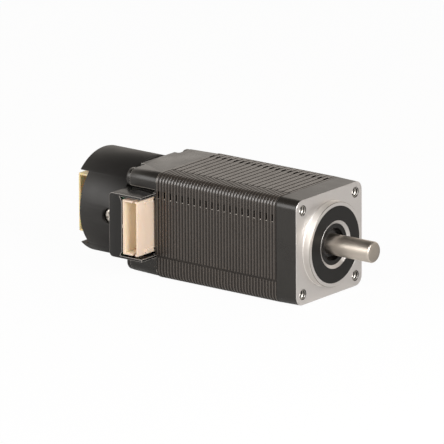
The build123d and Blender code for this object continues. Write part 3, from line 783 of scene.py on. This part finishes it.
pole_outline = [(YOKE + 0.1, -POLE_NECK), (SHOE, -POLE_NECK)]
pole_outline += arc(SHOE, -11, -14, -SHOE_ANGLE) + arc(BORE, -SHOE_ANGLE)
for tooth in range(TEETH):
    middle = TOOTH_STEP * (tooth - 2)
    if tooth > 0:
        pole_outline += arc(BORE + TOOTH_DEPTH, middle - TOOTH_HALF)
        pole_outline += arc(BORE, middle - TOOTH_HALF)
    if tooth < TEETH - 1:
        pole_outline += arc(BORE, middle + TOOTH_HALF)
        pole_outline += arc(BORE + TOOTH_DEPTH, middle + TOOTH_HALF)
pole_outline += arc(BORE, SHOE_ANGLE) + arc(SHOE, SHOE_ANGLE, 14, 11)
pole_outline += [(SHOE, POLE_NECK), (YOKE + 0.1, POLE_NECK)]
work = bmesh.new()
for pole in range(POLES):
    turn = math.radians(360 / POLES * pole)
    outline = [(y * math.cos(turn) - z * math.sin(turn),
                y * math.sin(turn) + z * math.cos(turn)) for y, z in pole_outline]
    loft([(STACK_FRONT - 0.02, outline), (STACK_BACK + 0.02, outline)], work=work)
poles = build("stator_poles", work, (iron,))
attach(poles, "housing")
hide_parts("stator_stack")

# Insulators, windings, rotor, magnet and bearings. They are hidden in the motor
# and keep their CAD shapes.
def dress(finishes):
    """Gives CAD nodes their materials."""
    for node, finish in finishes.items():
        for held in bpy.data.objects[node].material_slots:
            held.material = finish


# Moulded nylon is black and satin. A sintered magnet is a matt dark grey, and
# polished bearing steel is bright and even. Enamelled copper wire is glossy and
# orange, and its turns of 0.16 mm break up the light.
WIRE = 0.16
nylon_black = plain_material("moulded_nylon_black", "#23211f", 0.5)
magnet_grey = plain_material("sintered_magnet", "#4a4744", 0.6, metal=0.6)
bearing_bright = plain_material("polished_bearing_steel", "#cfcac5", 0.22, metal=1.0,
                                depth=0.002, change=0.03)
copper, tree, out, place = new_finish("enamelled_copper_wire")
turns = add(tree, "ShaderNodeTexWave", {
    "Vector": place, "Scale": WAVE_PER_MM / WIRE, "Distortion": 1.5,
    "Detail": 1.0}, wave_type="BANDS", bands_direction="DIAGONAL")
surface(tree, out, {
    "Base Color": linear("#b4632f"), "Metallic": 1.0, "Roughness": 0.32,
    "Coat Weight": 0.6, "Coat Roughness": 0.15,
    "Normal": bumps(tree, turns.outputs["Fac"], 0.8, 0.04)})
dress({
    "front_insulator": nylon_black, "rear_insulator": nylon_black,
    "phase_a_coils": copper, "phase_b_coils": copper, "rotor_magnet": magnet_grey,
    "rotor_cup_front": iron, "rotor_cup_rear": iron,
    "front_bearing_outer": bearing_bright, "front_bearing_inner": bearing_bright,
    "rear_bearing_outer": bearing_bright, "rear_bearing_inner": bearing_bright,
    "preload_washer": bearing_bright,
})

# Rear bracket. The second die casting: drafted sides, a raised cross on its back between
# four sunk corners for the screw heads, and an opening in its -Y side for the connector.
# The same black coat all over, with a pale painted highlight on its bevelled edges.
BRACKET_BACK = cad_corners("rear_bracket")[0][0]
BRACKET_SEAT = -39.0
BRACKET_DRAFT = math.tan(math.radians(1.2))
PLATEAU = 5.0
PAST = 12.0
SCREW_HOLE = 1.1
BRACKET_WALL = -35.4
REAR_SEAT_FRONT = -34.0
REAR_SEAT_BACK = -38.0
SHAFT_ROOM = 3.0
OPENING_FRONT = -33.0
OPENING_LOW, OPENING_HIGH, OPENING_INNER = -5.97, 6.62, -5.9
REBATE_LOW, REBATE_HIGH, REBATE_INNER = -6.3, 6.95, -9.2
# Each bevelled edge gets a pale painted highlight line.
edge_highlight_coat = coat_material("thin_enamel_on_edges", "#a39e98", 0.3)


def soften(piece, width, edge=-1):
    """Rounds a piece's edges with a fine bevel, as moulding and coating do.
    A slot number in edge gives the bevel a material of its own, which carries a painted
    highlight."""
    work = bmesh.new()
    work.from_mesh(piece.data)
    bmesh.ops.remove_doubles(work, verts=work.verts, dist=0.01 * MM)
    bmesh.ops.dissolve_limit(work, angle_limit=math.radians(1), verts=work.verts,
                             edges=work.edges)
    work.to_mesh(piece.data)
    work.free()
    change = piece.modifiers.new("soft", "BEVEL")
    change.width = width * MM
    change.segments = 2
    change.limit_method = "ANGLE"
    change.angle_limit = math.radians(40)
    change.use_clamp_overlap = False
    change.material = edge
    bake_modifiers(piece)
    settle(piece)


def block(name, low, high, soft=0.0, materials=()):
    """A block between two corners, its edges rounded by soft."""
    work = bmesh.new()
    bmesh.ops.create_cube(work, size=1.0)
    for vert in work.verts:
        vert.co = Vector([low[k] if vert.co[k] < 0 else high[k] for k in range(3)])
    if soft > 0:
        bmesh.ops.bevel(work, geom=list(work.edges), offset=soft, segments=2,
                        profile=0.5, affect="EDGES")
    return build(name, work, materials)


def bracket_ring(x, inset=0.0):
    """The bracket's outline at one place, which shrinks towards the back."""
    shrink = (STACK_BACK - x) * BRACKET_DRAFT + inset
    return (x, rounded_square(FRAME_HALF - shrink, FLANGE_CORNER))


bracket = build("bracket_body", loft([
    bracket_ring(STACK_BACK, 0.06), bracket_ring(STACK_BACK - 0.08),
    bracket_ring(BRACKET_BACK + 0.1), bracket_ring(BRACKET_BACK, 0.1)]),
    (coat, edge_highlight_coat))
for y, z in BOLTS:
    side_y, side_z = y / BOLT_PLACE, z / BOLT_PLACE
    low = (BRACKET_BACK - 1, min(side_y * PLATEAU, side_y * PAST),
           min(side_z * PLATEAU, side_z * PAST))
    high = (BRACKET_SEAT, max(side_y * PLATEAU, side_y * PAST),
            max(side_z * PLATEAU, side_z * PAST))
    cut(bracket, block("corner_cut", low, high, 0.25), build("screw_bore", lathe(
        [(STACK_BACK + 1, 0), (STACK_BACK + 1, SCREW_HOLE),
         (BRACKET_SEAT + 0.1, SCREW_HOLE), (BRACKET_SEAT - 0.2, SCREW_HOLE + 0.3),
         (BRACKET_SEAT - 0.2, 0)], 32, centre=(y, z))))
cut(bracket,
    build("end_space", lathe([
        (STACK_BACK + 1, 0), (STACK_BACK + 1, END_SPACE), (BRACKET_WALL, END_SPACE),
        (BRACKET_WALL, SEAT_WALL), (REAR_SEAT_FRONT, SEAT_WALL),
        (REAR_SEAT_FRONT, SEAT), (REAR_SEAT_BACK, SEAT), (REAR_SEAT_BACK, SHAFT_ROOM),
        (BRACKET_BACK - 1, SHAFT_ROOM), (BRACKET_BACK - 1, 0)], 64)),
    block("opening_rebate", (BRACKET_BACK - 1, -20, REBATE_LOW),
          (OPENING_FRONT, REBATE_INNER, REBATE_HIGH)),
    block("opening_deep", (BRACKET_BACK - 1, -20, OPENING_LOW),
          (OPENING_FRONT, OPENING_INNER, OPENING_HIGH)))
settle(bracket)
soften(bracket, 0.07, edge=1)
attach(bracket, "housing")
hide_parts("rear_bracket")

# Long screws. Four socket heads in black oxide that clamp both castings and the
# stack together from the back. The oxide is thin: dark, with a steely gloss.
SCREW_HEAD = -39.9
SCREW_TIP = cad_corners("long_screws")[1][0]
HEAD = 1.8
SHANK = 1.0
SHANK_CORE = 0.78
SOCKET = 1.5
SOCKET_DEPTH = 0.5
oxide_black = plain_material("black_oxide_steel", "#1c1a18", 0.26, feature=0.3,
                             depth=0.003, change=0.04)


def hexagon(across, centre):
    """The (y, z) corners of a hexagon with that width across its flats."""
    reach = across / 2 / math.cos(math.radians(30))
    return [(centre[0] + reach * math.cos(math.radians(60 * k + 30)),
             centre[1] + reach * math.sin(math.radians(60 * k + 30)))
            for k in range(6)]


socket_point = 0.3 * math.cos(math.radians(30))
for number, bolt in enumerate(BOLTS):
    screw = build(f"long_screw_{number + 1}", lathe([
        (SCREW_HEAD, 0), (SCREW_HEAD, HEAD - 0.18), (SCREW_HEAD + 0.06, HEAD - 0.06),
        (SCREW_HEAD + 0.2, HEAD), (BRACKET_SEAT - 0.05, HEAD),
        (BRACKET_SEAT, HEAD - 0.05), (BRACKET_SEAT, SHANK), (STACK_FRONT - 1, SHANK),
        (STACK_FRONT - 1, SHANK_CORE), (SCREW_TIP - 0.1, SHANK_CORE),
        (SCREW_TIP, SHANK_CORE - 0.12), (SCREW_TIP, 0)], 40, centre=bolt),
        (oxide_black,))
    cut(screw, build("socket", loft([
        (SCREW_HEAD - 0.5, hexagon(SOCKET, bolt)),
        (SCREW_HEAD + SOCKET_DEPTH, hexagon(SOCKET, bolt)),
        (SCREW_HEAD + SOCKET_DEPTH + 0.25, hexagon(socket_point, bolt))])))
    settle(screw)
    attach(screw, "housing")
    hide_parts("long_screws")

# Motor connector. A side-entry housing moulded in natural nylon, open to -Y:
# thin walls, a key slot in each short wall, two small bosses on its front, a
# nub on its back, and two notches where it meets its board.
plug_low, plug_high = cad_corners("motor_connector")
PLUG_BACK, PLUG_MOUTH, PLUG_LOW = plug_low
PLUG_FRONT, PLUG_INNER, PLUG_HIGH = plug_high
PLUG_WALL = 0.4
PLUG_FLOOR = 1.0
MOUTH_WALL = 0.28
BOSS_Y = -12.3
BOSS_FROM_END = 0.55
BOSS_FOOT = 0.62
BOSS_TOP = 0.4
BOSS_HIGH = 0.26
KEY_HALF = 0.35
KEY_END = -11.8
PIN_X = -34.25


# Natural nylon: pale, waxy, and slightly see-through, so that thin walls look
# lighter at their rims and warmer inside.
def nylon_material(name, colour, glow):
    """Moulded nylon of that colour, with light of another colour inside it."""
    material, tree, out, place = new_finish(name)
    surface(tree, out, {
        "Base Color": blend(tree, noise(tree, place, 1.5, 3.0), shaded(colour, 0.95),
                            linear(colour)),
        "Roughness": 0.42, "IOR": 1.53,
        "Subsurface Weight": 0.35, "Subsurface Radius": linear(glow)[:3],
        "Subsurface Scale": 0.5 * MM,
        "Normal": bumps(tree, noise(tree, place, 0.12, 2.0), 0.4, 0.003)})
    return material


def plug_hollows(low, high):
    """The room for the pins in a housing between two corners, open to -Y, and
    the slightly wider lead at its mouth."""
    return (
        block("cavity", (low[0] + PLUG_WALL, low[1] - 1, low[2] + PLUG_WALL),
              (high[0] - PLUG_WALL, high[1] - PLUG_FLOOR, high[2] - PLUG_WALL), 0.08),
        block("mouth_lead", (low[0] + MOUTH_WALL, low[1] - 1, low[2] + MOUTH_WALL),
              (high[0] - MOUTH_WALL, low[1] + 0.1, high[2] - MOUTH_WALL), 0.04))


nylon = nylon_material("natural_nylon", "#e4cfbb", "#ffe0b4")
cavity_nylon_painted_light = nylon_material("natural_nylon_inside", "#ffecd2", "#ffdbb0")
plug = block("motor_plug", plug_low, plug_high, 0.06, (nylon,))
for z in (PLUG_HIGH - BOSS_FROM_END, PLUG_LOW + BOSS_FROM_END):
    cut(plug, build("boss", lathe([
        (PLUG_FRONT - 0.2, 0), (PLUG_FRONT - 0.2, BOSS_FOOT), (PLUG_FRONT, BOSS_FOOT),
        (PLUG_FRONT + BOSS_HIGH, BOSS_TOP), (PLUG_FRONT + BOSS_HIGH, 0)], 4,
        centre=(BOSS_Y, z))),
        operation="UNION")
    cut(plug, block("rail", (PLUG_FRONT - 0.1, BOSS_Y + 0.2, z - 0.18),
                    (PLUG_FRONT + 0.12, PLUG_INNER - 0.15, z + 0.2), 0.04),
        operation="UNION")
    cut(plug, block("notch", (PLUG_FRONT - 0.5, PLUG_INNER - 0.55, z - 0.25),
                    (PLUG_FRONT + 1, PLUG_INNER + 0.1, z + 0.2), 0.04))
cut(plug, block("nub", (PLUG_BACK - 0.14, PLUG_MOUTH + 0.05, 0.0),
                (PLUG_BACK + 0.2, PLUG_MOUTH + 0.6, 0.75), 0.05), operation="UNION")
cavity, mouth_lead = plug_hollows(plug_low, plug_high)
cut(plug, cavity, block("key_slots", (PIN_X - KEY_HALF, PLUG_MOUTH - 1, PLUG_LOW - 1),
                        (PIN_X + KEY_HALF, KEY_END, PLUG_HIGH + 1), 0.03), mouth_lead)
settle(plug)
# The cavity's inner walls get a lighter, warmer copy of the nylon, as painted light
# against the shade inside the cavity.
plug.data.materials.append(cavity_nylon_painted_light)
INNER_WALL = PLUG_WALL - 0.05
for face in plug.data.polygons:
    x, y, z = face.center / MM
    if (PLUG_BACK + INNER_WALL < x < PLUG_FRONT - INNER_WALL
            and PLUG_MOUTH + 0.12 < y < PLUG_INNER - PLUG_FLOOR + 0.1
            and PLUG_LOW + INNER_WALL < z < PLUG_HIGH - INNER_WALL):
        face.material_index = 1
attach(plug, "housing")
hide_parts("motor_connector")

# Connector pins. Square tinned brass, tapered at the tip, which bend back and
# are soldered through the board. One pin is meshed for each row, and Geometry
# Nodes sets out the row. Tin is bright and a little yellow.
MOTOR_PIN = 0.5
MOTOR_PINS = 6
MOTOR_PITCH = 1.5
MOTOR_PIN_FIRST = 4.05
MOTOR_PIN_BEND = -8.8
MOTOR_PIN_TIP = -13.9
tin = plain_material("tinned_pin", "#d9cfbd", 0.25, metal=1.0, feature=0.2,
                     depth=0.002, change=0.04)
# Solder mask on a glass board: dark green, satin, with a faint weave.
board_green = plain_material("solder_mask_green", "#1f4a33", 0.38, feature=0.6,
                             depth=0.004)


def pin_row(name, width, x_pin, y_tip, y_bend, x_tail, first, pitch, count):
    """A row of bent pins, the first at height first and the rest below it."""
    half = width / 2
    bend = y_bend - half
    rings = [[(x_pin + a * r, y, b * r) for a, b in ((-1, -1), (1, -1), (1, 1), (-1, 1))]
             for y, r in ((y_tip, half / 2), (y_tip + width * 0.7, half),
                          (y_bend - width, half))]
    for front_x, back_x, back_y in (
            (x_pin - half, x_pin + half, bend + 0.2 * half),
            (x_pin - half - 0.05, x_pin - half - 0.05, bend + half),
            (x_tail, x_tail, bend + half)):
        rings.append([(front_x, bend - half, -half), (back_x, back_y, -half),
                      (back_x, back_y, half), (front_x, bend - half, half)])
    piece = build(name, skin(rings), (tin,))
    row_inputs = {
        "Count": ("NodeSocketInt", count),
        "Pitch": ("NodeSocketFloat", pitch * MM),
        "First": ("NodeSocketFloat", first * MM),
        "Metal": ("NodeSocketMaterial", tin),
    }
    tree, given, sockets = new_group(name + "_row", "Pin", row_inputs, "Row")
    each = add(tree, "GeometryNodeInstanceOnPoints", {
        "Points": point_line(tree, given, "Z"), "Instance": given["Pin"]})
    real = add(tree, "GeometryNodeRealizeInstances", {"Geometry": each.outputs[0]})
    painted = add(tree, "GeometryNodeSetMaterial", {"Geometry": real.outputs[0],
                                                    "Material": given["Metal"]})
    add(tree, "NodeGroupOutput", {"Row": painted.outputs[0]})
    run_group(piece, tree, sockets, row_inputs)
    return piece


motor_pins = pin_row(
    "motor_pins", width=MOTOR_PIN, x_pin=PIN_X, y_tip=MOTOR_PIN_TIP,
    y_bend=MOTOR_PIN_BEND, x_tail=cad_corners("motor_connector_pins")[0][0],
    first=MOTOR_PIN_FIRST, pitch=MOTOR_PITCH, count=MOTOR_PINS)
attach(motor_pins, "housing")
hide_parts("motor_connector_pins")
motor_board = block("motor_board", *cad_corners("terminal_board"), 0.03,
                    (board_green,))
hole_low = MOTOR_PIN_BEND - MOTOR_PIN - 0.02
hole_high = MOTOR_PIN_BEND + 0.02
hole_half = MOTOR_PIN / 2 + 0.02
for number in range(MOTOR_PINS):
    z = MOTOR_PIN_FIRST - MOTOR_PITCH * number
    cut(motor_board, block("pin_hole", (-39, hole_low, z - hole_half),
                           (-36, hole_high, z + hole_half)))
settle(motor_board)
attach(motor_board, "housing")
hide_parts("terminal_board")

# Connector cover. A cap moulded in black glass-filled nylon that closes the
# side opening over the board, with a window in its outer face for the
# connector, lips that reach over the last laminations, and clipped corners.
cover_low, cover_high = cad_corners("connector_cover")
COVER_BACK, COVER_MOUTH, COVER_LOW = cover_low
COVER_LIP, COVER_INNER, COVER_HIGH = cover_high
COVER_WALL = 0.45
COVER_FRONT = -33.1
BACK_ROUND = 0.8
LIP_START = -33.2
LIP_INNER = -10.3
WINDOW_BACK = -37.05
WINDOW_CLIP = 0.5
WINDOW_CLIP_HEIGHT = 0.85
HEAD_ROOM = 2.0
HEAD_ROOM_END = -38.8
# Glass-filled nylon, moulded black: satin, with a fine grain. Its edges get a pale
# painted highlight.
moulded_black = coat_material("moulded_black_nylon", "#121211", 0.24, peel=0.1,
                              depth=0.003)
cover_edge_highlight = coat_material("moulding_edge", "#9d9995", 0.25, peel=0.1)
cover = block("connector_cap", cover_low, (COVER_FRONT, COVER_INNER, COVER_HIGH), 0.0,
              (moulded_black, cover_edge_highlight))
work = bmesh.new()
work.from_mesh(cover.data)
back_edges = [e for e in work.edges
              if all(v.co.x < (COVER_BACK + 0.1) * MM for v in e.verts)
              and abs(e.verts[0].co.z - e.verts[1].co.z) < 1e-6]
bmesh.ops.bevel(work, geom=back_edges, offset=BACK_ROUND * MM, segments=6,
                profile=0.5, affect="EDGES")
work.to_mesh(cover.data)
work.free()
cut(cover, block("cap_lip", (LIP_START, COVER_MOUTH, COVER_LOW),
                 (COVER_LIP, LIP_INNER, COVER_HIGH)), operation="UNION")
room_low = COVER_LOW + COVER_WALL
room_high = COVER_HIGH - COVER_WALL
room_mouth = COVER_MOUTH + COVER_WALL
cut(cover,
    block("cap_room", (COVER_BACK + COVER_WALL + 0.15, room_mouth, room_low),
          (-31, -5, room_high), 0.1),
    block("cap_window", (WINDOW_BACK, COVER_MOUTH - 1, room_low),
          (-31, room_mouth + 0.5, room_high)))
for z, inward in ((room_high, -1), (room_low, 1)):
    cut(cover, build("window_corner", skin([[
        (WINDOW_BACK + 0.15, y, z), (WINDOW_BACK - WINDOW_CLIP, y, z),
        (WINDOW_BACK, y, z + inward * WINDOW_CLIP_HEIGHT),
        (WINDOW_BACK + 0.15, y, z + inward * WINDOW_CLIP_HEIGHT)]
        for y in (COVER_MOUTH - 1, room_mouth + 0.1)])))
for z in (-BOLT_PLACE, BOLT_PLACE):
    cut(cover, build("head_relief", lathe(
        [(COVER_BACK - 1, 0), (COVER_BACK - 1, HEAD_ROOM), (HEAD_ROOM_END, HEAD_ROOM),
         (HEAD_ROOM_END, 0)], 40, centre=(-BOLT_PLACE, z))))
settle(cover)
soften(cover, 0.06, edge=1)
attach(cover, "housing")
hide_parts("connector_cover")

# Encoder inside its cover. The base ring, hub, code disc, board and sensor
# keep their CAD shapes. The base is black anodised and matt, the hub is turned
# and bright, screws are zinc plated, and the chip is a matt black moulding.
plated_steel = plain_material("zinc_plated_screw", "#d8d2ca", 0.3, metal=1.0,
                              feature=0.3, depth=0.003, change=0.05)
base_black = plain_material("anodised_base", "#2a2927", 0.42, feature=0.3)
hub_bright = plain_material("turned_hub", "#c9c4bd", 0.3, metal=1.0, feature=0.2,
                            depth=0.003)
chip_black = plain_material("moulded_chip", "#1b1b1b", 0.5, feature=0.2)
# The disc is clear hard film with a dark code of 200 lines round its rim.
CODE_LINES = 200.0
CODE_RADIUS = 5.4
disc_film, tree, out, place = new_finish("code_disc_film")
apart, reach = from_axis(tree, place)
angle = reckon(tree, "ARCTAN2", apart["Z"], apart["Y"])
wave = reckon(tree, "SINE", reckon(tree, "MULTIPLY", angle, CODE_LINES))
track = reckon(tree, "GREATER_THAN", reach, CODE_RADIUS * MM)
dark = reckon(tree, "GREATER_THAN", reckon(tree, "MULTIPLY", wave, track), 0.0)
surface(tree, out, {
    "Base Color": blend(tree, dark, linear("#bdbab2"), linear("#2b2926")),
    "Roughness": 0.18, "IOR": 1.58, "Coat Weight": 0.4})
dress({
    "encoder_base": base_black, "encoder_base_screws": plated_steel,
    "encoder_hub": hub_bright, "encoder_hub_screw": plated_steel,
    "encoder_disc": disc_film, "encoder_board": board_green,
    "encoder_sensor": chip_black,
})

# Encoder connector. A smaller side-entry housing on the encoder board, in a
# yellower nylon, with one row of eight pins. Its walls look golden where light
# comes through them.
nylon_gold = nylon_material("yellowed_nylon", "#efdcab", "#ffd47a")
data_low, data_high = cad_corners("encoder_connector")
data_plug = block("encoder_plug", data_low, data_high, 0.06, (nylon_gold,))
cut(data_plug, *plug_hollows(data_low, data_high))
settle(data_plug)
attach(data_plug, "housing")
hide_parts("encoder_connector")
DATA_PIN = 0.4
DATA_PIN_X = -52.5
DATA_PIN_TAIL = -51.0
DATA_PIN_FIRST = 4.675
DATA_PITCH = 1.25
DATA_PINS = 8
pins_low, pins_high = cad_corners("encoder_connector_pins")
data_pins = pin_row(
    "encoder_pins", width=DATA_PIN, x_pin=DATA_PIN_X, y_tip=pins_low[1],
    y_bend=pins_high[1], x_tail=DATA_PIN_TAIL, first=DATA_PIN_FIRST,
    pitch=DATA_PITCH, count=DATA_PINS)
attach(data_pins, "housing")
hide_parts("encoder_connector_pins")

# Encoder cover. A turned aluminium cup in satin black anodise, as wide as the
# frame, that slides over the base ring. Its end is cut open on the -Y side for
# the encoder connector, and two screws through its wall hold it.
(SHELL_END, _, _), (SHELL_MOUTH, _, _) = cad_corners("encoder_cover")
SHELL = FRAME_HALF
SHELL_WALL = 1.0
SHELL_END_WALL = 0.8
SHELL_SCREW_X = -43.9
SHELL_STEPS = 160
SCREW_ROOM = 1.5
DATA_NOTCH_FLOOR = -50.9
DATA_NOTCH_INNER = -0.3
DATA_NOTCH_HALF = 7.0
# Anodise is part of the metal: black, very even and almost without peel, with a
# broad soft highlight.
anodise = coat_material("black_anodise", "#1c1b1a", 0.46, peel=0.08, depth=0.002)
shell_inside = SHELL - SHELL_WALL
shell = build("encoder_shell", lathe([
    (SHELL_MOUTH, shell_inside + 0.08), (SHELL_MOUTH, SHELL - 0.12),
    (SHELL_MOUTH - 0.05, SHELL - 0.04), (SHELL_MOUTH - 0.12, SHELL),
    (SHELL_END + 0.3, SHELL), (SHELL_END + 0.12, SHELL - 0.05),
    (SHELL_END + 0.04, SHELL - 0.14), (SHELL_END, SHELL - 0.3), (SHELL_END, 0),
    (SHELL_END + SHELL_END_WALL, 0), (SHELL_END + SHELL_END_WALL, shell_inside),
    (SHELL_MOUTH - 0.08, shell_inside)], SHELL_STEPS, closed=True), (anodise,))
cut(shell, block("connector_notch", (SHELL_END - 1, -12, -DATA_NOTCH_HALF),
                 (DATA_NOTCH_FLOOR, DATA_NOTCH_INNER, DATA_NOTCH_HALF)))
for side in (-1, 1):
    work = lathe([(0, 0), (0, SCREW_ROOM), (2.6, SCREW_ROOM), (2.75, SCREW_ROOM + 0.15),
                  (4, SCREW_ROOM + 0.15), (4, 0)], 48)
    bmesh.ops.rotate(work, verts=work.verts, cent=(0, 0, 0),
                     matrix=Matrix.Rotation(math.radians(90 * side), 3, "Z"))
    bmesh.ops.translate(work, verts=work.verts,
                        vec=(SHELL_SCREW_X, side * (SHELL - 2.8), 0))
    cut(shell, build("screw_hole", work))
settle(shell)
soften(shell, 0.05)
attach(shell, "housing")
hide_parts("encoder_cover")

# Encoder cover screws. Small zinc-plated pan heads with a cross recess, threaded
# into the base ring. Both are turned to the angle that the photograph shows.
HEAD_FACE = 2.22
HEAD_RADIUS = 1.4
RECESS_LONG = 0.8
RECESS_WIDE = 0.18
RECESS_TURN = 25
SCREW_FOOT = 7.4
for side in (-1, 1):
    made = build("cover_screw", lathe([
        (0.0, 0), (0.0, 0.7), (1.55, 0.7), (1.55, HEAD_RADIUS), (1.85, HEAD_RADIUS),
        (2.05, 1.32), (2.18, 1.1), (HEAD_FACE, 0.8), (HEAD_FACE, 0)], 40))
    cut(made,
        block("recess", (1.9, -RECESS_LONG, -RECESS_WIDE),
              (2.5, RECESS_LONG, RECESS_WIDE), 0.02),
        block("recess", (1.9, -RECESS_WIDE, -RECESS_LONG),
              (2.5, RECESS_WIDE, RECESS_LONG), 0.02))
    made.data.transform(
        Matrix.Translation((SHELL_SCREW_X * MM, side * SCREW_FOOT * MM, 0))
        @ Matrix.Rotation(math.radians(90 * side), 4, "Z")
        @ Matrix.Rotation(math.radians(RECESS_TURN), 4, "X"))
    made.data.materials.append(plated_steel)
    settle(made)
    made.name = "cover_screw_left" if side < 0 else "cover_screw_right"
    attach(made, "housing")
    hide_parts("encoder_cover_screws")
